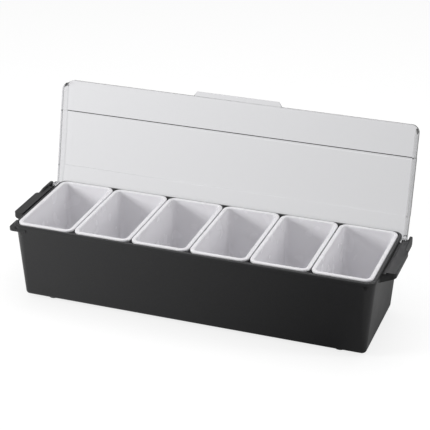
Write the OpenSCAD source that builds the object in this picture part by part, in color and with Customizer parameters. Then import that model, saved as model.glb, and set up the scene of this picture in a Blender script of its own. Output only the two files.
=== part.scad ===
// Six-tray bar caddy: a drafted ice trough with end handles, six lift-out trays and one flip lid.
// X runs along the row of trays, Y from the front to the hinge side, Z up.
// The origin is the centre of the trough's flat underside. The lid is modelled open.

/* [Trough] */
// Length over the rim
rim_len = 464; // [400:1:560]
// Depth over the rim, front to back
rim_depth = 147; // [130:1:190]
// Height from the underside to the top of the rim
trough_h = 100; // [92:1:130]
// How far each wall leans out between the underside and the rim
wall_lean = 7.5; // [4:0.5:10]
// Wall thickness near the floor
wall_t = 3; // [2.4:0.1:3.6]
// Extra wall thickness just below the rim
wall_growth = 2.4; // [1.6:0.1:2.8]
// Floor thickness
floor_t = 3; // [2.5:0.1:5]
// Radius of the upright corners at the underside
corner_r = 6; // [5:0.5:9]
// Fillet round the bottom edge
bottom_fillet = 4.5; // [2:0.5:5]
// Fillet between the walls and the floor, inside
cavity_fillet = 2; // [1:0.1:2.4]

/* [Rim] */
// Height of the rim band
band_h = 4.5; // [3.5:0.5:7]
// How far the band stands out from the wall
band_step = 1.2; // [0.8:0.1:2]
// Corner radius of the band
band_corner_r = 11; // [9:0.5:14]
// Rounding of the band's top edge
band_round = 1.4; // [0.5:0.1:2]
// Width of the bead outside the tray ledge
bead_w = 4.1; // [3:0.1:5]
// Depth of the tray ledge below the rim
ledge_drop = 0.9; // [0.5:0.1:2]

/* [Trays] */
// Number of trays in the row (the node list names six)
tray_count = 6; // [6]
// Inside height of a tray below its flange
tray_drop = 76; // [50:1:84]
// Tray wall thickness
tray_wall = 1.8; // [1.4:0.1:2.4]
// Tray floor thickness
tray_floor = 2; // [1.5:0.1:3]
// How far the tray's rolled flange overhangs its wall
flange_w = 3.2; // [2.8:0.1:3.6]
// Height of the rolled flange
flange_h = 2.6; // [2:0.1:4]
// Corner radius of the flange
flange_corner_r = 11; // [10:0.5:14]
// How far each tray wall leans in towards its floor
tray_lean = 4.6; // [4:0.1:5]
// Fillet between a tray's walls and floor
tray_fillet = 2.5; // [1.5:0.1:2.8]
// Rounding of the flange's top edge
flange_round = 1.2; // [0.5:0.1:1.3]
// Gap between neighbouring flanges
tray_gap = 1.4; // [0.8:0.1:3]
// Gap between the row of flanges and the bead
tray_play = 0.3; // [0.2:0.1:0.6]

/* [Handles] */
// How far the handle plate's top lies below the rim
plate_drop = 2; // [1.5:0.5:6]
// Thickness of the handle plate
plate_t = 3; // [2:0.1:3.5]
// Depth of the groove beside the rim that the closed lid's end walls stand in
groove_drop = 2.2; // [1:0.1:3]
// Play outside the end walls in the groove
groove_play = 0.4; // [0.3:0.1:1]
// Front end of the handle, in front of the middle
handle_front = 35; // [25:1:45]
// Rear end of the handle, behind the middle
handle_rear = 30; // [29:1:34]
// Reach of the handle beyond the rim
handle_reach = 16.5; // [15.5:0.5:20]
// Corner radius of the handle seen from above
handle_r = 4; // [2:0.5:6]
// Thickness of the down-turned lip and of the end gussets
lip_t = 3; // [2:0.1:4]
// Height of the down-turned lip
lip_h = 6.5; // [6:0.5:9]
// Height of the end gussets at the wall
gusset_h = 15.5; // [12:0.5:20]
// Reach of the front left corner lug beyond the end of the rim
lug_reach = 5.5; // [4:0.5:12]
// Reach of the corner lug in front of the rim
lug_front = 0.6; // [0.5:0.1:5]
// Length of the corner lug, front to back
lug_len = 25; // [18:1:30]
// How far the corner lug's top lies below the handle plate
lug_drop = 4; // [3:0.5:8]
// Thickness of the corner lug
lug_t = 4; // [3:0.5:8]
// Corner radius of the lug seen from above
lug_r = 8; // [4:0.5:9]

/* [Hinge] */
// How far the pivot lies below the rim
pivot_drop = 6.5; // [5.5:0.5:8]
// Distance from the pivot to the rear face of the rim
pivot_inset = 11.5; // [11:0.5:13]
// Radius of the hinge pins
pin_r = 2.5; // [1.5:0.1:3]
// Radial clearance of the pins in the lid's ears
pin_clear = 0.05; // [0.02:0.01:0.1]
// Length of a pin inside the lid's end wall
pin_proud = 0.3; // [0:0.1:0.8]
// Chamfer round a pin's inner end
pin_chamfer = 0.5; // [0.2:0.1:1]
// Radius of the ears round the pins
ear_r = 7; // [5.5:0.1:7.5]
// Thickness of the ears
ear_t = 5; // [4:0.1:6]
// How far an ear's root runs up the lid's end wall
ear_root = 4; // [2:0.5:8]
// Gap between an ear and its cheek
ear_gap = 3.3; // [1:0.1:4.5]
// Thickness of the cheeks outside the ears
cheek_t = 3; // [2.5:0.1:4]
// Height of the cheeks
cheek_h = 14; // [13:0.5:18]
// How far the cheeks stand above the handle plate
cheek_rise = 2; // [1:0.5:5]
// Length of the cheeks
cheek_len = 40; // [37:1:48]
// Length of the slope at the front of the cheeks' top edge
cheek_ramp = 12; // [4:1:20]
// Rear end of the cheeks, behind the pivot
cheek_back = 6.5; // [5:0.5:8]
// Corner radius of the cheeks at the rear
cheek_r = 5; // [2:0.5:6]
// How far the slot reaches in front of the ears
slot_play = 2; // [1:0.5:4]

/* [Lid] */
// Angle that the open lid has turned from closed
open_angle = 103; // [95:1:104]
// Thickness of the clear plastic
lid_t = 2.5; // [2:0.1:3]
// Gap between the rim and the inside of the lid's end and rear walls
lid_gap = 1.2; // [1:0.1:2]
// Gap between the rim and the inside of the lid's front wall
front_gap = 4; // [1:0.5:6]
// Height of the lid's front strip above the bottom edge of its end walls
lid_depth = 15.9; // [12:0.1:20]
// Depth of the lip along the front edge
front_lip = 4.5; // [3.5:0.5:8]
// Depth of the lip along the rear edge
rear_lip = 5; // [3.5:0.1:6]
// Gap between the open lid's rear lip and the trough's rear wall, where it stops
stop_gap = 0.2; // [0.1:0.1:0.5]
// Width of the front strip
front_strip = 40.7; // [25:0.1:60]
// How far the middle panel stands above the front strip
panel_step = 2; // [1:0.1:3]
// Width of the sloping step up to the middle panel
step_run = 1; // [0.5:0.1:4]
// How far the rear slope starts below the middle panel
slope_step = 1.6; // [0.5:0.1:3]
// Width of the rear slope, from the rear edge
rear_slope = 42; // [30:1:50]
// Corner radius of the lid seen from above
lid_corner_r = 10; // [6:0.5:14]
// Clearance under the closed lid's end walls
rest_gap = 0.3; // [0.2:0.1:0.5]
// Length of the finger tab at its root
tab_len = 118; // [60:1:160]
// How far the finger tab stands out
tab_out = 6; // [4:0.5:12]
// Thickness of the finger tab
tab_t = 2; // [1.6:0.1:2.5]
// Chamfer at each end of the finger tab
tab_chamfer = 4; // [1:0.5:8]

/* [Feet] */
// Radius of a rubber foot
foot_r = 8; // [5:0.5:10]
// How far a foot stands below the underside
foot_h = 4.5; // [2:0.5:8]
// Rounding round a foot's bottom edge
foot_round = 2.5; // [0.5:0.1:4]
// Depth of the recess that holds a foot
foot_seat = 1; // [0.5:0.1:1.5]
// Play round a foot in its recess
foot_play = 0.1; // [0.05:0.05:0.3]
// Distance of the feet from the end of the rim
foot_inset_x = 43; // [37:1:120]
// Distance of the feet from the front or rear of the rim
foot_inset_y = 23.5; // [23:0.5:40]

/* [Hidden] */
$fn = 96;
eps = 0.01;

half_len = rim_len / 2;
half_depth = rim_depth / 2;
band_z = trough_h - band_h;
ledge_z = trough_h - ledge_drop;
plate_z = trough_h - plate_drop;
top_corner_r = corner_r + wall_lean;
core_x = half_len - band_step - top_corner_r;
core_y = half_depth - band_step - top_corner_r;
floor_inner_r = corner_r - wall_t + wall_lean * floor_t / band_z;
mouth_inner_r = top_corner_r - wall_t - wall_growth;

flange_x = 2 * (half_len - bead_w - tray_play);
flange_y = 2 * (half_depth - bead_w - tray_play);
tray_pitch = (flange_x + tray_gap) / tray_count;
tray_len = tray_pitch - tray_gap;
tray_z = ledge_z;
body_corner_r = flange_corner_r - flange_w;
body_core_x = tray_len / 2 - flange_corner_r;
body_core_y = flange_y / 2 - flange_corner_r;
tray_bottom_r = body_corner_r - tray_lean;

foot_x = half_len - foot_inset_x;
foot_y = half_depth - foot_inset_y;
pivot_y = half_depth - pivot_inset;
pivot_z = trough_h - pivot_drop;
lid_in_x = half_len + lid_gap;
lid_out_x = lid_in_x + lid_t;
ear_out_x = lid_in_x + ear_t;
lip_out_x = half_len + handle_reach;
cheek_in_x = ear_out_x + ear_gap;
cheek_out_x = cheek_in_x + cheek_t;
cheek_rear = pivot_y + cheek_back;
cheek_front = cheek_rear - cheek_len;
cheek_top = plate_z + cheek_rise;
slot_front = pivot_y - ear_r - slot_play;
lid_front = half_depth + front_gap + lid_t;
lid_rear = half_depth + lid_gap + lid_t;
groove_z = plate_z - groove_drop;
groove_x = lid_out_x + groove_play;
skirt_z = groove_z + rest_gap;
strip_z = skirt_z + lid_depth;
strip_top = strip_z + lid_t;
root_x = half_len - band_step - wall_t;
rim_core = [half_len - band_corner_r, half_depth - band_corner_r];

// The open lid's rear lip stops against the leaning rear wall. With the pivot as origin, the
// lip's outer bottom edge turns back by the open angle and then lies one gap from the wall.
wall_slope = atan2(wall_lean, band_z);
wall_y_at_pivot = half_depth - band_step - wall_lean * (band_z - pivot_z) / band_z - pivot_y;
lip_y = lid_rear - pivot_y;
rear_lip_z = pivot_z + (stop_gap + wall_y_at_pivot * cos(wall_slope)
    - lip_y * cos(open_angle - wall_slope)) / sin(open_angle - wall_slope);

// A profile of radius against height, carried round a rectangle with rounded corners.
// core is half the rectangle that joins the centres of the corners; the profile's left edge is at 0.
module swept_block(core, h) {
    for (sx = [-1, 1], sy = [-1, 1])
        translate([sx * core[0], sy * core[1], 0])
            rotate_extrude()
                children();
    translate([-core[0], 0, 0])
        rotate([90, 0, 90])
            linear_extrude(2 * core[0])
                both_sides(core[1], h) children();
    straight_block(core, h) children();
}

// The straight stretch of a swept block between its corners, front to back.
module straight_block(core, h) {
    translate([0, core[1], 0])
        rotate([90, 0, 0])
            linear_extrude(2 * core[1])
                both_sides(core[0], h) children();
}

// The profile on both sides of a flat middle.
module both_sides(half, h) {
    translate([half, 0]) children();
    mirror([1, 0]) translate([half, 0]) children();
    translate([-half, 0]) square([2 * half, h]);
}

// Half section of a drafted block: r0 below, r1 above, with a fillet at the bottom. The fillet's
// circle stands out by eps, so that it crosses both lines cleanly.
module drafted_profile(r0, r1, h, fillet) {
    slope = atan2(r1 - r0, h);
    cx = r0 + fillet * (sin(slope) - 1) / cos(slope);
    difference() {
        polygon([[0, 0], [r0, 0], [r1, h], [0, h]]);
        difference() {
            translate([cx, -fillet]) square([2 * fillet, 2 * fillet - fillet * sin(slope)]);
            translate([cx + eps, fillet - eps]) circle(fillet);
        }
    }
}

// Half section of a plain band with a rounded top edge.
module band_profile(r, h, round) {
    square([r, h - round]);
    square([r - round, h]);
    translate([r - round, h - round]) circle(round);
}

// Half section of the trough's outside below the rim band.
module wall_profile() {
    drafted_profile(corner_r, top_corner_r, band_z + eps, bottom_fillet);
}

// Half section of the rim band's outside.
module rim_profile() {
    band_profile(band_corner_r, band_h, band_round);
}

module base_body() {
    color([0.13, 0.13, 0.14]) difference() {
        union() {
            swept_block([core_x, core_y], band_z + eps) wall_profile();
            translate([0, 0, band_z]) swept_block(rim_core, band_h) rim_profile();
            corner_lug();
        }
        translate([0, 0, floor_t])
            swept_block([core_x, core_y], trough_h)
                drafted_profile(floor_inner_r,
                    floor_inner_r + (mouth_inner_r - floor_inner_r) * trough_h / (band_z - floor_t),
                    trough_h, cavity_fillet);
        translate([0, 0, ledge_z])
            swept_block(rim_core, band_h) square([band_corner_r - bead_w, band_h]);
        for (x = [-foot_x, foot_x], y = [-foot_y, foot_y])
            translate([x, y, -eps]) cylinder(r = foot_r + foot_play, h = foot_seat + eps);
    }
}

// Right-hand handle: a plate with a skirt on three sides, then the arm and cheek of the hinge.
module handle() {
    color([0.13, 0.13, 0.14]) difference() {
        union() {
            handle_plate();
            hinge_cheek();
        }
        translate([(cheek_in_x + cheek_out_x) / 2, pivot_y, pivot_z])
            rotate([0, 90, 0]) cylinder(r = pin_r, h = 2 * cheek_t, center = true);
    }
}

// The plate with its skirt and arm. The inner end follows the trough's end wall and rim band.
module handle_plate() {
    low = plate_z - gusset_h;
    difference() {
        union() {
            intersection() {
                translate([0, 0, low]) linear_extrude(gusset_h) handle_plan();
                translate([0, handle_rear + eps, 0])
                    rotate([90, 0, 0])
                        linear_extrude(handle_front + handle_rear + 2 * eps)
                            polygon([[root_x, cheek_top], [lip_out_x + gusset_h, cheek_top],
                                [lip_out_x + gusset_h, plate_z - lip_h],
                                [lip_out_x, plate_z - lip_h], [root_x, low]]);
            }
            translate([root_x, handle_rear - lip_t, groove_z - plate_t])
                cube([cheek_in_x + cheek_t / 2 - root_x, slot_front - handle_rear + lip_t,
                    groove_drop + plate_t]);
        }
        handle_hollow(root_x - eps, groove_z - plate_t);
        handle_hollow(groove_x + plate_t, plate_z - plate_t);
        handle_groove();
        straight_block([core_x, core_y], band_z + eps) wall_profile();
        translate([0, 0, band_z]) straight_block(rim_core, band_h) rim_profile();
    }
}

// The finger space under the plate, from one distance out to the lip.
module handle_hollow(from_x, top) {
    low = plate_z - gusset_h - eps;
    translate([from_x, lip_t - handle_front, low])
        cube([lip_out_x - lip_t - from_x, handle_front + handle_rear - 2 * lip_t, top - low]);
}

// The groove that takes the closed lid's end wall.
module handle_groove() {
    translate([root_x - eps, -handle_front - eps, groove_z])
        cube([groove_x - root_x + eps, handle_front + slot_front + 2 * eps, groove_drop + eps]);
}

module handle_plan() {
    translate([root_x, -handle_front])
        square([lip_out_x - handle_r - root_x, handle_front + handle_rear]);
    translate([root_x, handle_r - handle_front])
        square([lip_out_x - root_x, handle_front + handle_rear - 2 * handle_r]);
    for (y = [handle_r - handle_front, handle_rear - handle_r])
        translate([lip_out_x - handle_r, y]) circle(handle_r);
}

module hinge_cheek() {
    low = cheek_top - cheek_h;
    translate([cheek_in_x, 0, 0])
        rotate([90, 0, 90])
            linear_extrude(cheek_t) {
                polygon([[cheek_front, low], [cheek_rear - cheek_r, low], [cheek_rear - cheek_r, cheek_top],
                    [cheek_front + cheek_ramp, cheek_top], [cheek_front, plate_z]]);
                translate([cheek_rear - 2 * cheek_r, low + cheek_r])
                    square([2 * cheek_r, cheek_h - 2 * cheek_r]);
                for (z = [low + cheek_r, cheek_top - cheek_r])
                    translate([cheek_rear - cheek_r, z]) circle(cheek_r);
            }
}

// Small lug under the rim band at the front left corner.
module corner_lug() {
    left = -half_len - lug_reach;
    front = -half_depth - lug_front;
    translate([0, 0, plate_z - lug_drop - lug_t])
        linear_extrude(lug_t) {
            translate([left + lug_r, front]) square([2 * lug_r, lug_len]);
            translate([left, front + lug_r]) square([lug_r + eps, lug_len - lug_r]);
            translate([left + lug_r, front + lug_r]) circle(lug_r);
        }
}

module foot(sx, sy) {
    color([0.07, 0.07, 0.07]) translate([sx * foot_x, sy * foot_y, -foot_h])
        rotate_extrude() {
            square([foot_r - foot_round, foot_h + foot_seat]);
            translate([0, foot_round]) square([foot_r, foot_h + foot_seat - foot_round]);
            intersection() {
                translate([foot_r - foot_round, foot_round]) circle(foot_round);
                square([foot_r, foot_round]);
            }
        }
}

module hinge_pin(side) {
    pin_in_x = lid_in_x - pin_proud;
    color([0.1, 0.1, 0.1]) translate([side * pin_in_x, pivot_y, pivot_z])
        rotate([0, 90 * side, 0]) {
            cylinder(r1 = pin_r - pin_chamfer, r2 = pin_r, h = pin_chamfer);
            translate([0, 0, pin_chamfer]) cylinder(r = pin_r, h = cheek_out_x - pin_in_x - pin_chamfer);
        }
}

module tray(n) {
    color([0.95, 0.95, 0.96])
        translate([(n - (tray_count + 1) / 2) * tray_pitch, 0, tray_z])
            difference() {
                union() {
                    translate([0, 0, -tray_drop - tray_floor])
                        swept_block([body_core_x, body_core_y], tray_drop + tray_floor + eps)
                            drafted_profile(tray_bottom_r, body_corner_r,
                                tray_drop + tray_floor + eps, tray_fillet);
                    swept_block([body_core_x, body_core_y], flange_h)
                        band_profile(flange_corner_r, flange_h, flange_round);
                }
                translate([0, 0, -tray_drop])
                    swept_block([body_core_x, body_core_y], tray_drop + flange_h + eps)
                        drafted_profile(tray_bottom_r - tray_wall,
                            body_corner_r - tray_wall + tray_lean * flange_h / tray_drop,
                            tray_drop + flange_h + eps, tray_fillet - tray_wall);
            }
}

module lid() {
    color([0.8, 0.85, 0.88, 0.35])
        translate([0, pivot_y, pivot_z])
            rotate([-open_angle, 0, 0])
                translate([0, -pivot_y, -pivot_z])
                    lid_closed();
}

// Section of the closed lid, front at the left; inset shrinks it by the wall thickness.
module lid_section(inset) {
    front = inset - lid_front;
    rear = lid_rear - inset;
    top = strip_top - inset;
    bottom = inset > 0 ? skirt_z - rim_depth / 4 : skirt_z;
    step_y = front_strip - lid_front + inset;
    polygon([[front, bottom], [front, top], [step_y, top], [step_y + step_run, top + panel_step],
        [lid_rear - rear_slope - step_run, top + panel_step],
        [lid_rear - rear_slope, top + panel_step - slope_step],
        [rear, rear_lip_z + rear_lip - inset], [rear, bottom]]);
}

module lid_closed() {
    tall = 2 * strip_top;
    difference() {
        union() {
            intersection() {
                lid_prism(lid_out_x, 0);
                linear_extrude(tall) lid_plan(0);
            }
            for (side = [-1, 1]) lid_ear(side);
            finger_tab();
        }
        intersection() {
            lid_prism(lid_in_x, lid_t);
            linear_extrude(tall) lid_plan(lid_t);
        }
        lid_trim();
        translate([-rim_len, pivot_y, pivot_z])
            rotate([0, 90, 0]) cylinder(r = pin_r + pin_clear, h = 2 * rim_len);
    }
}

module lid_prism(half, inset) {
    translate([-half, 0, 0])
        rotate([90, 0, 90]) linear_extrude(2 * half) lid_section(inset);
}

// The lid's outline seen from above; inset shrinks it by the wall thickness.
module lid_plan(inset) {
    core = lid_out_x - lid_corner_r;
    r = lid_corner_r - inset;
    depth = lid_front + lid_rear;
    translate([-core, inset - lid_front]) square([2 * core, depth - 2 * inset]);
    translate([inset - lid_out_x, lid_corner_r - lid_front])
        square([2 * (lid_out_x - inset), depth - 2 * lid_corner_r]);
    for (x = [-core, core], y = [lid_corner_r - lid_front, lid_rear - lid_corner_r])
        translate([x, y]) circle(r);
}

module lid_ear(side) {
    x = side > 0 ? lid_in_x : -ear_out_x;
    translate([x, pivot_y, pivot_z])
        rotate([90, 0, 90])
            linear_extrude(ear_t) {
                circle(ear_r);
                translate([-ear_r, 0]) square([2 * ear_r, skirt_z - pivot_z + ear_root]);
            }
}

// What the rounded front corners of the end walls and the two shallow lips leave out.
module lid_trim() {
    lip_z = strip_top - front_lip;
    r = lip_z - skirt_z;
    translate([-rim_len, 0, 0])
        rotate([90, 0, 90])
            linear_extrude(2 * rim_len)
                difference() {
                    translate([-lid_front - r, skirt_z - r]) square(2 * r);
                    translate([r - lid_front, skirt_z + r]) circle(r);
                }
    translate([-lid_in_x, -lid_front - r, skirt_z - r])
        cube([2 * lid_in_x, r + lid_corner_r, 2 * r]);
    translate([-lid_in_x, lid_rear - lid_corner_r, skirt_z - r])
        cube([2 * lid_in_x, r + lid_corner_r, rear_lip_z - skirt_z + r]);
}

module finger_tab() {
    half = tab_len / 2;
    translate([0, -lid_front, strip_top - tab_t])
        linear_extrude(tab_t)
            polygon([[-half, lid_t], [-half, 0], [tab_chamfer - half, -tab_out],
                [half - tab_chamfer, -tab_out], [half, 0], [half, lid_t]]);
}

module trough() base_body();
module handle_left() mirror([1, 0, 0]) handle();
module handle_right() handle();
module foot_front_left() foot(-1, -1);
module foot_front_right() foot(1, -1);
module foot_rear_left() foot(-1, 1);
module foot_rear_right() foot(1, 1);
module hinge_pin_left() hinge_pin(-1);
module hinge_pin_right() hinge_pin(1);
module tray_1() tray(1);
module tray_2() tray(2);
module tray_3() tray(3);
module tray_4() tray(4);
module tray_5() tray(5);
module tray_6() tray(6);

trough();
handle_left();
handle_right();
foot_front_left();
foot_front_right();
foot_rear_left();
foot_rear_right();
hinge_pin_left();
hinge_pin_right();
lid();
tray_1();
tray_2();
tray_3();
tray_4();
tray_5();
tray_6();
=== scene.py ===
"""Six-tray bar caddy: finishes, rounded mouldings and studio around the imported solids."""

import math

import bmesh
import bpy
from mathutils import Matrix, Vector


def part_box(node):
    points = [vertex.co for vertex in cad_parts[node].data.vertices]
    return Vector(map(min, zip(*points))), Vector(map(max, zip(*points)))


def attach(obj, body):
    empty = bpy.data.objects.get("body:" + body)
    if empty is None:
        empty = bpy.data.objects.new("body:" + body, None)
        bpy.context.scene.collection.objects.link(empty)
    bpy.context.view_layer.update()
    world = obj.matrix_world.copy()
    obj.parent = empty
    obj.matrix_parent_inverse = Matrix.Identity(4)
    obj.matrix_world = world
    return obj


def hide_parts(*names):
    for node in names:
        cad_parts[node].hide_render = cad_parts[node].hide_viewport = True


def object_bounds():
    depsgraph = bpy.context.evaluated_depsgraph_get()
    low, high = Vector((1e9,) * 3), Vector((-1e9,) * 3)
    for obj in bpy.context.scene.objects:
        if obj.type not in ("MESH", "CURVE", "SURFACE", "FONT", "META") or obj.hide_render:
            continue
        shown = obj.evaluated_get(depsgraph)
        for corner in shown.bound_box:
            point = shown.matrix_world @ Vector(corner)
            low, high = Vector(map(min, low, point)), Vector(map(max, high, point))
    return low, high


bl_info = {
    "name": "Bar caddy",
    "version": (1, 0, 0),
    "blender": (4, 5, 0),
    "location": "View3D > Sidebar > Caddy",
    "description": "Finishes and studio for a bar caddy with six trays and one flip lid",
    "category": "Object",
}

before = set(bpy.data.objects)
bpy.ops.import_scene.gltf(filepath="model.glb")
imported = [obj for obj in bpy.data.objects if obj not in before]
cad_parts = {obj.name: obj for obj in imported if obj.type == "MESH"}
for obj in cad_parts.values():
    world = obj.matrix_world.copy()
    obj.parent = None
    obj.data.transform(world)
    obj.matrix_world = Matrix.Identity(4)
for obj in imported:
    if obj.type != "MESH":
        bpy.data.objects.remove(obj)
CAD_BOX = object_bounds()
TRAYS = [f"tray_{number}" for number in range(1, 7)]
FEET = ["foot_front_left", "foot_front_right", "foot_rear_left", "foot_rear_right"]
PINS = ["hinge_pin_left", "hinge_pin_right"]
MOULDING = ["trough", "handle_left", "handle_right"]

WHITE = (1.0, 1.0, 1.0, 1.0)
# Lengths are in metres.
MERGE = 2e-6  # points closer than this are one
LEVEL = 1e-5  # heights closer than this are one
FACING = 0.999  # part of a face's normal that points straight up or down
FLAT = math.radians(0.3)  # facets that meet below this angle lie in one flat face
WEDGE = math.radians(120)  # an edge that turns further has no room for a rounding
SMOOTH = math.radians(40)  # faces that meet below this angle are shaded as one

# The lug at the trough's front left corner: the planes that part it from the trough, the point
# on the leaning walls that it spreads from, and how far it spreads and goes up.
LUG_SIDE, LUG_BACK, LUG_LOW, LUG_HIGH = -0.2129, -0.0485, 0.0894, 0.0946
LUG_ROOT = (-0.2173, -0.0588, 0.092)
LUG_SPREAD, LUG_RISE = 1.0084, 0.0013
# Its front, once it is up: where it stands, its lower and upper edge, and the part of its
# roundness that it keeps.
LUG_FRONT, LUG_FRONT_LOW, LUG_FRONT_HIGH = -0.0729, 0.0906, 0.0953
LUG_DRAWN = 0.15

# The pocket under a foot: how far its wall leans, the rounding of its mouth, and how far past
# its radius a point may lie and still be of its mouth.
POCKET_LEAN, POCKET_EDGE, POCKET_SLACK = 0.0002, 0.0004, 0.0003
ROLL = 0.46  # rounding of the trays' rims, as a part of their height


def linear(code):
    """A colour written as sRGB hex, as linear RGB."""
    parts = [int(code[i:i + 2], 16) / 255 for i in (1, 3, 5)]
    return tuple(v / 12.92 if v <= 0.04045 else ((v + 0.055) / 1.055) ** 2.4 for v in parts)


def add_node(tree, kind, inputs=None, **settings):
    """Adds a node, with its settings, and sets or links each input."""
    made = tree.nodes.new(kind)
    for name, value in settings.items():
        setattr(made, name, value)
    for name, value in (inputs or {}).items():
        if isinstance(value, bpy.types.NodeSocket):
            tree.links.new(value, made.inputs[name])
        else:
            made.inputs[name].default_value = value
    return made


def new_material(name):
    """An empty node material and its node tree."""
    made = bpy.data.materials.new(name)
    made.use_nodes = True
    made.node_tree.nodes.clear()
    return made, made.node_tree


def finish_nodes(names, material):
    """Puts one material in every slot of the named CAD nodes."""
    for name in names:
        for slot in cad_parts[name].material_slots:
            slot.material = material


def pick(kind, test):
    """Selects, in edit mode, only the points, edges or faces that pass a test."""
    data = bpy.context.edit_object.data
    bpy.ops.mesh.select_mode(type=kind)
    bpy.ops.mesh.select_all(action="DESELECT")
    mesh = bmesh.from_edit_mesh(data)
    for part in {"VERT": mesh.verts, "EDGE": mesh.edges, "FACE": mesh.faces}[kind]:
        if test(part):
            part.select_set(True)
    mesh.select_flush_mode()
    bmesh.update_edit_mesh(data)


def level(edge, height):
    """Whether both ends of an edge lie at one height."""
    return all(abs(point.co.z - height) < LEVEL for point in edge.verts)


def middle_of(node):
    """The middle of a CAD node's box."""
    low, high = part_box(node)
    return (low + high) / 2


def start_piece(name, add, **place):
    """Adds a primitive, applies its place and opens it in edit mode."""
    bpy.ops.object.select_all(action="DESELECT")
    add(**place)
    made = bpy.context.object
    made.name = name
    bpy.ops.object.transform_apply(location=True, rotation=True, scale=True)
    bpy.ops.object.mode_set(mode="EDIT")
    return made


def close_piece(made, material):
    """Leaves edit mode, shades the piece smooth with its flat faces kept flat, and gives it its
    material."""
    bpy.ops.object.mode_set(mode="OBJECT")
    bpy.ops.object.shade_smooth_by_angle(angle=SMOOTH)
    shading = made.modifiers.new("flat_faces", "WEIGHTED_NORMAL")
    shading.keep_sharp = True
    bpy.ops.object.modifier_apply(modifier="flat_faces")
    made.data.materials.clear()
    made.data.materials.append(material)


def stand_in(made, body, slot, *nodes):
    """Says which body a piece rides on and which CAD nodes it stands in for; its finish slot is
    not used.
    """
    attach(made, body)
    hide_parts(*nodes)


def set_copies(first, nodes, ending):
    """Gives each of some like nodes its piece in turn: the first one itself, then copies with
    their own mesh. A copy starts with all that the first piece had by then."""
    for node in nodes:
        made = first
        if node != nodes[0]:
            made = first.copy()
            made.data = first.data.copy()
            bpy.context.scene.collection.objects.link(made)
            made.data.transform(Matrix.Translation(middle_of(node) - middle_of(nodes[0])))
        made.name = node + ending
        yield node, made


def copy_node(node, name):
    """A copy of a CAD node, selected and active."""
    made = bpy.data.objects.new(name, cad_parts[node].data.copy())
    bpy.context.scene.collection.objects.link(made)
    bpy.ops.object.select_all(action="DESELECT")
    made.select_set(True)
    bpy.context.view_layer.objects.active = made
    bpy.ops.object.mode_set(mode="EDIT")
    bpy.ops.mesh.select_all(action="SELECT")
    bpy.ops.mesh.remove_doubles(threshold=MERGE)
    bpy.ops.object.mode_set(mode="OBJECT")
    return made


def soften_copy(nodes, name, width, segments, angle, inner):
    """A copy of one or more CAD nodes, grown together and left in edit mode, with its flat faces
    joined and the edges that turn by more than an angle rounded to a width. Sharp wedges, and
    inner corners no longer than a given length, have no room for that and stay as they are."""
    added = [copy_node(node, name + "_" + node) for node in nodes[1:]]
    made = copy_node(nodes[0], name)
    for other in added:
        join = made.modifiers.new("join", "BOOLEAN")
        join.operation = "UNION"
        join.solver = "EXACT"
        join.object = other
        bpy.ops.object.modifier_apply(modifier="join")
        bpy.data.objects.remove(other)
    bpy.ops.object.mode_set(mode="EDIT")
    bpy.ops.mesh.select_all(action="SELECT")
    bpy.ops.mesh.remove_doubles(threshold=MERGE)
    bpy.ops.mesh.dissolve_limited(angle_limit=FLAT, delimit=set())
    pick("EDGE", lambda edge: math.radians(angle) < edge.calc_face_angle(0.0) < WEDGE and
         (edge.is_convex or edge.calc_length() > inner))
    bpy.ops.mesh.bevel(offset=width, segments=segments, affect="EDGES", clamp_overlap=False)
    bpy.ops.mesh.select_all(action="SELECT")
    bpy.ops.mesh.dissolve_degenerate(threshold=MERGE)
    return made


class TroughLook(bpy.types.PropertyGroup):
    colour: bpy.props.FloatVectorProperty(
        name="Colour", description="Black of the trough's plastic", subtype="COLOR",
        size=3, min=0.0, max=1.0, default=linear("#2b2b2c"))
    grain: bpy.props.FloatProperty(
        name="Grain", description="Spacing of the moulded texture, in metres",
        subtype="DISTANCE", unit="LENGTH", min=0.0002, max=0.005, default=0.0011)
    roughness: bpy.props.FloatProperty(
        name="Roughness", description="Roughness of the satin face", subtype="FACTOR",
        min=0.0, max=1.0, default=0.37)
    edge: bpy.props.FloatProperty(
        name="Edge", description="Rounding of the trough's sharp edges, in metres",
        subtype="DISTANCE", unit="LENGTH", min=0.0001, max=0.001, default=0.0004)


class TrayLook(bpy.types.PropertyGroup):
    colour: bpy.props.FloatVectorProperty(
        name="Colour", description="White of the trays", subtype="COLOR",
        size=3, min=0.0, max=1.0, default=linear("#eeedf0"))
    rim_height: bpy.props.FloatProperty(
        name="Rim height", description="Height of the rolled rim", subtype="DISTANCE",
        unit="LENGTH", min=0.002, max=0.004, default=0.0026)
    rim_corner: bpy.props.FloatProperty(
        name="Rim corner", description="Corner radius of the rim, seen from above",
        subtype="DISTANCE", unit="LENGTH", min=0.006, max=0.014, default=0.011)
    overhang: bpy.props.FloatProperty(
        name="Overhang", description="How far the rim stands out from the wall",
        subtype="DISTANCE", unit="LENGTH", min=0.002, max=0.004, default=0.0032)
    wall: bpy.props.FloatProperty(
        name="Wall", description="Thickness of the walls", subtype="DISTANCE",
        unit="LENGTH", min=0.001, max=0.0024, default=0.0018)
    floor: bpy.props.FloatProperty(
        name="Floor", description="Thickness of the floor", subtype="DISTANCE",
        unit="LENGTH", min=0.001, max=0.003, default=0.002)
    lean: bpy.props.FloatProperty(
        name="Lean", description="How far each wall leans in towards the floor",
        subtype="DISTANCE", unit="LENGTH", min=0.002, max=0.006, default=0.0046)
    fillet: bpy.props.FloatProperty(
        name="Fillet", description="Rounding between the walls and the floor, outside",
        subtype="DISTANCE", unit="LENGTH", min=0.001, max=0.005, default=0.0042)


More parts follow.
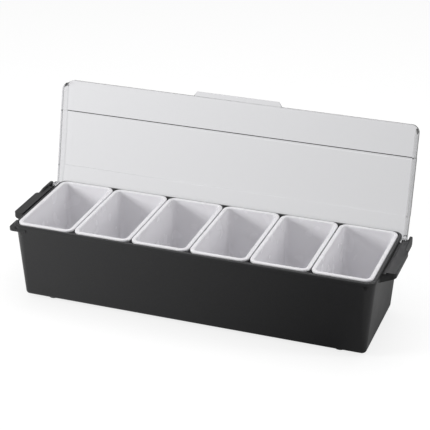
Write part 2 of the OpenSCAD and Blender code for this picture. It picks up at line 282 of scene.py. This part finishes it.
class LidLook(bpy.types.PropertyGroup):
    colour: bpy.props.FloatVectorProperty(
        name="Colour", description="Faint tint of the clear lid", subtype="COLOR",
        size=3, min=0.0, max=1.0, default=linear("#ebebed"))
    smoke: bpy.props.FloatProperty(
        name="Smoke", description="How much light a metre of the plastic takes up",
        min=0.0, max=200.0, default=8.0)
    edge: bpy.props.FloatProperty(
        name="Edge", description="Rounding of the lid's edges and bends, in metres",
        subtype="DISTANCE", unit="LENGTH", min=0.0001, max=0.0012, default=0.0006)


class FootLook(bpy.types.PropertyGroup):
    colour: bpy.props.FloatVectorProperty(
        name="Colour", description="Black of the rubber", subtype="COLOR",
        size=3, min=0.0, max=1.0, default=linear("#161616"))
    rounding: bpy.props.FloatProperty(
        name="Rounding", description="Rounding of a foot's bottom edge", subtype="DISTANCE",
        unit="LENGTH", min=0.0005, max=0.003, default=0.0025)
    pocket: bpy.props.FloatProperty(
        name="Pocket", description="Radius of the pocket in a foot's underside",
        subtype="DISTANCE", unit="LENGTH", min=0.001, max=0.004, default=0.0026)


class PinLook(bpy.types.PropertyGroup):
    colour: bpy.props.FloatVectorProperty(
        name="Colour", description="Black of the hinge pins", subtype="COLOR",
        size=3, min=0.0, max=1.0, default=linear("#131314"))


class StudioSetup(bpy.types.PropertyGroup):
    camera_at: bpy.props.FloatVectorProperty(
        name="Camera", description="Where the camera stands", subtype="XYZ", unit="LENGTH",
        size=3, default=(0.561894, -1.537199, 0.897564))
    yaw: bpy.props.FloatProperty(
        name="Yaw", description="Turn of the camera to the left", subtype="ANGLE",
        default=math.radians(19.726))
    pitch: bpy.props.FloatProperty(
        name="Pitch", description="Tilt of the camera below level", subtype="ANGLE",
        default=math.radians(25.453))
    roll: bpy.props.FloatProperty(
        name="Roll", description="Roll of the camera", subtype="ANGLE",
        default=math.radians(0.134))
    lens: bpy.props.FloatProperty(
        name="Lens", description="Focal length on a 36 mm sensor", unit="CAMERA",
        min=20.0, max=300.0, default=123.0)


def textured_black(look):
    """Black polypropylene, injection moulded in a spark-eroded tool: an even satin with a fine
    grain that breaks up every highlight."""
    material, tree = new_material("polypropylene_black_spark_texture")
    where = add_node(tree, "ShaderNodeTexCoord").outputs["Object"]
    # Spark texture is about 0.3 mm; drawn near 1.1 mm so that it shows.
    grain = add_node(tree, "ShaderNodeTexNoise", {
        "Vector": where, "Scale": 1 / look.grain, "Detail": 3.0, "Roughness": 0.6})
    # Slow change of sheen from handling, about 60 mm across.
    sheen = add_node(tree, "ShaderNodeTexNoise", {
        "Vector": where, "Scale": 1 / 0.06, "Detail": 3.0})
    rough = add_node(tree, "ShaderNodeMapRange", {
        "Value": sheen.outputs["Fac"], "From Min": 0.3, "From Max": 0.7,
        "To Min": look.roughness - 0.05, "To Max": look.roughness + 0.06})
    bump = add_node(tree, "ShaderNodeBump", {
        "Height": grain.outputs["Fac"], "Strength": 0.35, "Distance": 0.0002})
    tint = add_node(tree, "ShaderNodeMapRange", {
        "Value": grain.outputs["Fac"], "From Min": 0.3, "From Max": 0.7,
        "To Min": 0.8, "To Max": 1.2})
    colour = add_node(tree, "ShaderNodeVectorMath", {
        0: tuple(look.colour), "Scale": tint.outputs["Result"]}, operation="SCALE")
    body = add_node(tree, "ShaderNodeBsdfPrincipled", {
        "Base Color": colour.outputs["Vector"], "Roughness": rough.outputs["Result"],
        "Normal": bump.outputs["Normal"], "IOR": 1.49})
    add_node(tree, "ShaderNodeOutputMaterial", {"Surface": body.outputs["BSDF"]})
    return material


def glossy_white(look):
    """White ABS, injection moulded in a polished tool: glossy, with a faint ripple in what it
    mirrors."""
    material, tree = new_material("abs_white_polished")
    where = add_node(tree, "ShaderNodeTexCoord").outputs["Object"]
    # The walls shrink unevenly as they set, over about 20 mm.
    ripple = add_node(tree, "ShaderNodeTexNoise", {
        "Vector": where, "Scale": 1 / 0.02, "Detail": 1.0})
    bump = add_node(tree, "ShaderNodeBump", {
        "Height": ripple.outputs["Fac"], "Strength": 0.05, "Distance": 0.0004})
    rough = add_node(tree, "ShaderNodeMapRange", {
        "Value": ripple.outputs["Fac"], "To Min": 0.2, "To Max": 0.32})
    body = add_node(tree, "ShaderNodeBsdfPrincipled", {
        "Base Color": (*look.colour, 1.0), "Roughness": rough.outputs["Result"],
        "Normal": bump.outputs["Normal"], "IOR": 1.53})
    add_node(tree, "ShaderNodeOutputMaterial", {"Surface": body.outputs["BSDF"]})
    return material


def clear_moulding(look):
    """Clear polystyrene, injection moulded in a mirror-polished tool: see-through and glossy, with
    a faint flow ripple."""
    material, tree = new_material("polystyrene_clear")
    where = add_node(tree, "ShaderNodeTexCoord").outputs["Object"]
    # The plastic's flow leaves waves of about 50 mm.
    flow = add_node(tree, "ShaderNodeTexNoise", {
        "Vector": where, "Scale": 1 / 0.05, "Detail": 1.0})
    bump = add_node(tree, "ShaderNodeBump", {
        "Height": flow.outputs["Fac"], "Strength": 0.1, "Distance": 0.0003})
    body = add_node(tree, "ShaderNodeBsdfPrincipled", {
        "Base Color": (*look.colour, 1.0), "Roughness": 0.03, "Transmission Weight": 1.0,
        "IOR": 1.5, "Normal": bump.outputs["Normal"]})
    # The plastic darkens with depth: faint through the sheet, grey along its edges and bends.
    depth = add_node(tree, "ShaderNodeVolumeAbsorption", {
        "Color": (0.0, 0.0, 0.01, 1.0), "Density": look.smoke})
    add_node(tree, "ShaderNodeOutputMaterial", {
        "Surface": body.outputs["BSDF"], "Volume": depth.outputs["Volume"]})
    return material


def moulded_rubber(look):
    """Black rubber, compression moulded: dead matt and faintly uneven."""
    material, tree = new_material("rubber_black_moulded")
    where = add_node(tree, "ShaderNodeTexCoord").outputs["Object"]
    # Bloom and dust on rubber gather in patches of about 2 mm.
    bloom = add_node(tree, "ShaderNodeTexNoise", {
        "Vector": where, "Scale": 1 / 0.002, "Detail": 3.0})
    tint = add_node(tree, "ShaderNodeMapRange", {
        "Value": bloom.outputs["Fac"], "From Min": 0.3, "From Max": 0.7,
        "To Min": 0.8, "To Max": 1.3})
    colour = add_node(tree, "ShaderNodeVectorMath", {
        0: tuple(look.colour), "Scale": tint.outputs["Result"]}, operation="SCALE")
    bump = add_node(tree, "ShaderNodeBump", {
        "Height": bloom.outputs["Fac"], "Strength": 0.3, "Distance": 0.0002})
    body = add_node(tree, "ShaderNodeBsdfPrincipled", {
        "Base Color": colour.outputs["Vector"], "Roughness": 0.85, "IOR": 1.52,
        "Normal": bump.outputs["Normal"]})
    add_node(tree, "ShaderNodeOutputMaterial", {"Surface": body.outputs["BSDF"]})
    return material


def turned_acetal(look):
    """Black acetal rod, turned: a waxy sheen with fine rings round the pin's own axis."""
    material, tree = new_material("acetal_black_turned")
    where = add_node(tree, "ShaderNodeTexCoord").outputs["Object"]
    # Turning marks along X, every 0.4 mm. The wave node repeats every 0.31 over its scale.
    rings = add_node(tree, "ShaderNodeTexWave", {
        "Vector": where, "Scale": 0.31 / 0.0004, "Distortion": 0.6, "Detail": 1.0},
        wave_type="BANDS", bands_direction="X")
    bump = add_node(tree, "ShaderNodeBump", {
        "Height": rings.outputs["Fac"], "Strength": 0.2, "Distance": 0.00005})
    rough = add_node(tree, "ShaderNodeMapRange", {
        "Value": rings.outputs["Fac"], "To Min": 0.34, "To Max": 0.44})
    body = add_node(tree, "ShaderNodeBsdfPrincipled", {
        "Base Color": (*look.colour, 1.0), "Roughness": rough.outputs["Result"], "IOR": 1.48,
        "Normal": bump.outputs["Normal"]})
    add_node(tree, "ShaderNodeOutputMaterial", {"Surface": body.outputs["BSDF"]})
    return material


class CADDY_OT_trough(bpy.types.Operator):
    """Round the trough's edges and give it its black textured plastic"""
    bl_idname = "caddy.trough"
    bl_label = "Trough"

    def execute(self, context):
        look = context.scene.caddy_trough
        # All inner corners stay sharp.
        made = soften_copy(
            MOULDING, "trough_moulding", width=look.edge, segments=2, angle=32, inner=math.inf)
        # The corner lug goes up along the leaning walls, to the rim band, and its front draws in.
        pick("VERT", lambda point: point.co.x < LUG_SIDE and point.co.y < LUG_BACK and
             LUG_LOW < point.co.z < LUG_HIGH)
        bpy.ops.transform.resize(
            value=(LUG_SPREAD, LUG_SPREAD, 1.0), center_override=LUG_ROOT)
        bpy.ops.transform.translate(value=(0.0, 0.0, LUG_RISE))
        pick("VERT", lambda point: point.co.x < LUG_SIDE and point.co.y < LUG_FRONT and
             LUG_FRONT_LOW < point.co.z < LUG_FRONT_HIGH)
        bpy.ops.transform.resize(
            value=(1.0, LUG_DRAWN, 1.0), center_override=(0.0, LUG_FRONT, 0.0))
        close_piece(made, textured_black(look))
        stand_in(made, "base", "trough_black", *MOULDING)
        return {"FINISHED"}


class CADDY_OT_feet(bpy.types.Operator):
    """Model one rubber foot and set a copy in each recess under the trough"""
    bl_idname = "caddy.feet"
    bl_label = "Feet"

    def execute(self, context):
        look = context.scene.caddy_feet
        low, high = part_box(FEET[0])
        middle = middle_of(FEET[0])
        radius, tall = (high.x - low.x) / 2, high.z - low.z
        foot = start_piece(
            "rubber_foot", bpy.ops.mesh.primitive_cylinder_add, vertices=48, radius=radius,
            depth=tall, location=middle)
        pick("EDGE", lambda edge: level(edge, low.z))
        bpy.ops.mesh.bevel(offset=look.rounding, segments=6, affect="EDGES")

        # The pocket in the underside is a third of the foot deep.
        pick("FACE", lambda face: face.normal.z < -FACING)
        bpy.ops.mesh.inset(thickness=radius - look.rounding - look.pocket)
        bpy.ops.mesh.inset(thickness=POCKET_LEAN, depth=-tall / 3)
        pick("EDGE", lambda edge: level(edge, low.z) and
             (edge.verts[0].co.xy - middle.xy).length < look.pocket + POCKET_SLACK)
        bpy.ops.mesh.bevel(offset=POCKET_EDGE, segments=2, affect="EDGES")
        close_piece(foot, moulded_rubber(look))
        for node, made in set_copies(foot, FEET, "_rubber"):
            stand_in(made, "base", "foot_rubber", node)
        return {"FINISHED"}


class CADDY_OT_pins(bpy.types.Operator):
    """Give the hinge pins their turned black acetal"""
    bl_idname = "caddy.pins"
    bl_label = "Hinge pins"

    def execute(self, context):
        finish_nodes(PINS, turned_acetal(context.scene.caddy_pins))
        return {"FINISHED"}


class CADDY_OT_trays(bpy.types.Operator):
    """Model one tray with its rolled rim and set a copy in each place of the row"""
    bl_idname = "caddy.trays"
    bl_label = "Trays"

    def execute(self, context):
        look = context.scene.caddy_tray
        low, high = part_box(TRAYS[0])
        middle, size = middle_of(TRAYS[0]), high - low
        tray = start_piece(
            "tray", bpy.ops.mesh.primitive_cube_add, size=1.0,
            location=(middle.x, middle.y, high.z - look.rim_height / 2),
            scale=(size.x, size.y, look.rim_height))
        pick("EDGE", lambda edge: not level(edge, edge.verts[0].co.z))
        bpy.ops.mesh.bevel(offset=look.rim_corner, segments=12, affect="EDGES")

        # The mouth is drawn down to the floor, and the seat under the rim down to the underside.
        for way, rim, deep in ((1, look.overhang + look.wall, size.z - look.floor),
                               (-1, look.overhang, size.z - look.rim_height)):
            pick("FACE", lambda face: face.normal.z * way > FACING)
            bpy.ops.mesh.inset(thickness=rim)
            bpy.ops.mesh.extrude_region_move(
                TRANSFORM_OT_translate={"value": (0.0, 0.0, -deep)})
            bpy.ops.transform.resize(
                value=(1 - 2 * look.lean / (size.x - 2 * rim),
                       1 - 2 * look.lean / (size.y - 2 * rim), 1.0),
                center_override=middle)

        pick("EDGE", lambda edge: level(edge, low.z))
        bpy.ops.mesh.bevel(offset=look.fillet, segments=6, affect="EDGES")
        pick("EDGE", lambda edge: level(edge, low.z + look.floor))
        bpy.ops.mesh.bevel(offset=look.fillet - look.wall / 2, segments=5, affect="EDGES")
        # The rolled rim: its inner and outer top edges are round.
        pick("EDGE", lambda edge: level(edge, high.z) and edge.calc_face_angle(0.0) > SMOOTH)
        bpy.ops.mesh.bevel(offset=look.rim_height * ROLL, segments=5, affect="EDGES")
        close_piece(tray, glossy_white(look))
        for node, made in set_copies(tray, TRAYS, "_moulding"):
            stand_in(made, node, "tray_white", node)
        return {"FINISHED"}


class CADDY_OT_lid(bpy.types.Operator):
    """Round the lid's edges and bends and give it its clear plastic"""
    bl_idname = "caddy.lid"
    bl_label = "Lid"

    def execute(self, context):
        look = context.scene.caddy_lid
        made = soften_copy(
            ["lid"], "lid_moulding", width=look.edge, segments=3, angle=20, inner=0.02)
        close_piece(made, clear_moulding(look))
        stand_in(made, "lid", "lid_clear", "lid")
        return {"FINISHED"}


def softbox(name, place, target, size, power, mirrored=True):
    """A rectangular area lamp aimed at a point, which glossy and clear faces mirror or not."""
    lamp = bpy.data.lights.new(name, "AREA")
    lamp.shape = "RECTANGLE"
    lamp.size, lamp.size_y = size
    lamp.energy = power
    made = bpy.data.objects.new(name, lamp)
    bpy.context.scene.collection.objects.link(made)
    made.location = place
    made.visible_glossy = made.visible_transmission = mirrored
    made.rotation_euler = (Vector(target) - Vector(place)).to_track_quat("-Z", "Y").to_euler()


def paper_sweep():
    """White paper, dead matt: seen straight it is white and keeps the caddy's shadow. For all
    other rays it carries painted light:
    the painted reflection that the black plastic mirrors, and the bounce it sends back, fade from
    white at the left to a dark grey before the right half, and are grey beside the right end. A
    painted shade in the lid: what the lid lets through fades a little to the right."""
    material, tree = new_material("white_paper_sweep")
    path = add_node(tree, "ShaderNodeLightPath")
    where = add_node(tree, "ShaderNodeTexCoord").outputs["Object"]
    across = add_node(tree, "ShaderNodeSeparateXYZ", {"Vector": where}).outputs["X"]

    # Painted reflection and bounce: a grey ramp along X, white at the left, dark before the right
    # half and grey again beside the right end, that the black plastic mirrors and that the floor
    # bounces onto the caddy.
    along = add_node(tree, "ShaderNodeMapRange", {
        "Value": across, "From Min": -0.45, "From Max": 0.45})
    mirrored = add_node(tree, "ShaderNodeValToRGB", {"Fac": along.outputs["Result"]})
    stops = mirrored.color_ramp.elements
    stops.new(0.5)
    for stop, place, grey in zip(stops, (0.0, 0.7, 0.8), (1.0, 0.05, 0.4)):
        stop.position = place
        stop.color = (grey, grey, grey, 1.0)
    # The painted reflection itself: for glossy rays the floor glows with the ramp's grey.
    painted_reflection = add_node(tree, "ShaderNodeEmission", {"Color": mirrored.outputs["Color"]})
    paper = add_node(tree, "ShaderNodeBsdfDiffuse", {"Color": mirrored.outputs["Color"]})
    unseen = add_node(tree, "ShaderNodeMixShader", {
        "Fac": path.outputs["Is Glossy Ray"], 1: paper.outputs["BSDF"],
        2: painted_reflection.outputs["Emission"]})

    # The part that the lamps light keeps the shadow, and the glow brings the rest up to white.
    dim = add_node(tree, "ShaderNodeBsdfDiffuse", {"Color": (0.28, 0.28, 0.28, 1.0)})
    glow = add_node(tree, "ShaderNodeEmission", {"Color": WHITE, "Strength": 0.78})
    bright = add_node(tree, "ShaderNodeAddShader", {
        0: dim.outputs["BSDF"], 1: glow.outputs["Emission"]})
    seen = add_node(tree, "ShaderNodeMixShader", {
        "Fac": path.outputs["Is Camera Ray"], 1: unseen.outputs["Shader"],
        2: bright.outputs["Shader"]})

    # Painted shade in the lid: the floor seen through it glows less towards the right, so the lid
    # turns greyer there.
    through = add_node(tree, "ShaderNodeMapRange", {
        "Value": across, "From Min": -0.45, "From Max": 0.25, "To Min": 0.98, "To Max": 0.75})
    painted_lid_shade = add_node(tree, "ShaderNodeEmission", {
        "Color": WHITE, "Strength": through.outputs["Result"]})
    mix = add_node(tree, "ShaderNodeMixShader", {
        "Fac": path.outputs["Is Transmission Ray"], 1: seen.outputs["Shader"],
        2: painted_lid_shade.outputs["Emission"]})
    add_node(tree, "ShaderNodeOutputMaterial", {"Surface": mix.outputs["Shader"]})
    return material


def studio_air():
    """A world that is white where it is seen, straight or through the lid, and a soft grey as a
    light."""
    world = bpy.data.worlds.new("studio_air")
    world.use_nodes = True
    tree = world.node_tree
    tree.nodes.clear()
    path = add_node(tree, "ShaderNodeLightPath")
    seen = add_node(tree, "ShaderNodeMath", {
        0: path.outputs["Is Camera Ray"], 1: path.outputs["Is Transmission Ray"]},
        operation="MAXIMUM")
    air = add_node(tree, "ShaderNodeBackground", {"Color": WHITE, "Strength": 0.42})
    white = add_node(tree, "ShaderNodeBackground", {"Color": WHITE, "Strength": 1.0})
    mix = add_node(tree, "ShaderNodeMixShader", {
        "Fac": seen.outputs["Value"], 1: air.outputs["Background"],
        2: white.outputs["Background"]})
    add_node(tree, "ShaderNodeOutputWorld", {"Surface": mix.outputs["Shader"]})
    return world


def product_camera(setup):
    """The camera, at the place and the turn that the studio's settings give."""
    lens = bpy.data.cameras.new("product_camera")
    lens.lens = setup.lens
    lens.sensor_width = 36.0
    lens.clip_end = 30.0
    camera = bpy.data.objects.new("product_camera", lens)
    bpy.context.scene.collection.objects.link(camera)
    turn = (Matrix.Rotation(setup.yaw, 4, "Z")
            @ Matrix.Rotation(math.pi / 2 - setup.pitch, 4, "X")
            @ Matrix.Rotation(setup.roll, 4, "Z"))
    camera.matrix_world = Matrix.Translation(setup.camera_at) @ turn
    return camera


class CADDY_OT_studio(bpy.types.Operator):
    """Set up the white floor, the soft light and the camera"""
    bl_idname = "caddy.studio"
    bl_label = "Studio"

    def execute(self, context):
        scene = context.scene
        bpy.ops.object.select_all(action="DESELECT")
        bpy.ops.mesh.primitive_plane_add(size=14.0, location=(0.0, 0.0, CAD_BOX[0][2]))
        floor = context.object
        floor.name = "floor"
        floor.data.materials.append(paper_sweep())

        scene.world = studio_air()
        # The key stands low at the left, where its own image would be a patch in the lid.
        softbox("key_softbox", place=(-1.15, -0.85, 0.55), target=(-0.2, 0.0, 0.05),
                size=(0.5, 0.4), power=11.0, mirrored=False)
        softbox("right_softbox", place=(1.6, 0.2, 0.8), target=(0.2, 0.0, 0.05),
                size=(0.25, 0.9), power=6.0)
        softbox("overhead_softbox", place=(0.0, 0.3, 1.7), target=(0.0, 0.0, 0.1),
                size=(1.4, 1.0), power=10.0)

        scene.camera = product_camera(scene.caddy_studio)
        scene.view_settings.view_transform = "Standard"
        return {"FINISHED"}


class CADDY_PT_panel(bpy.types.Panel):
    """Lists the caddy's pieces and its studio"""
    bl_label = "Bar caddy"
    bl_idname = "CADDY_PT_panel"
    bl_space_type = "VIEW_3D"
    bl_region_type = "UI"
    bl_category = "Caddy"

    def draw(self, context):
        for group in GROUPS:
            settings = getattr(context.scene, group)
            for name in settings.__annotations__:
                self.layout.prop(settings, name)
        for operator in OPERATORS:
            self.layout.operator(operator.bl_idname)


GROUPS = {
    "caddy_trough": TroughLook,
    "caddy_tray": TrayLook,
    "caddy_lid": LidLook,
    "caddy_feet": FootLook,
    "caddy_pins": PinLook,
    "caddy_studio": StudioSetup,
}
OPERATORS = [
    CADDY_OT_studio, CADDY_OT_trough, CADDY_OT_feet, CADDY_OT_pins, CADDY_OT_trays, CADDY_OT_lid]


def register():
    for made in (*GROUPS.values(), *OPERATORS, CADDY_PT_panel):
        bpy.utils.register_class(made)
    for name, group in GROUPS.items():
        setattr(bpy.types.Scene, name, bpy.props.PointerProperty(type=group))


def unregister():
    for name in GROUPS:
        delattr(bpy.types.Scene, name)
    for made in reversed((*GROUPS.values(), *OPERATORS, CADDY_PT_panel)):
        bpy.utils.unregister_class(made)


def main():
    """Registers the caddy's classes, then makes everything."""
    register()
    for operator in OPERATORS:
        space, name = operator.bl_idname.split(".")
        getattr(getattr(bpy.ops, space), name)()


if __name__ == "__main__":
    main()
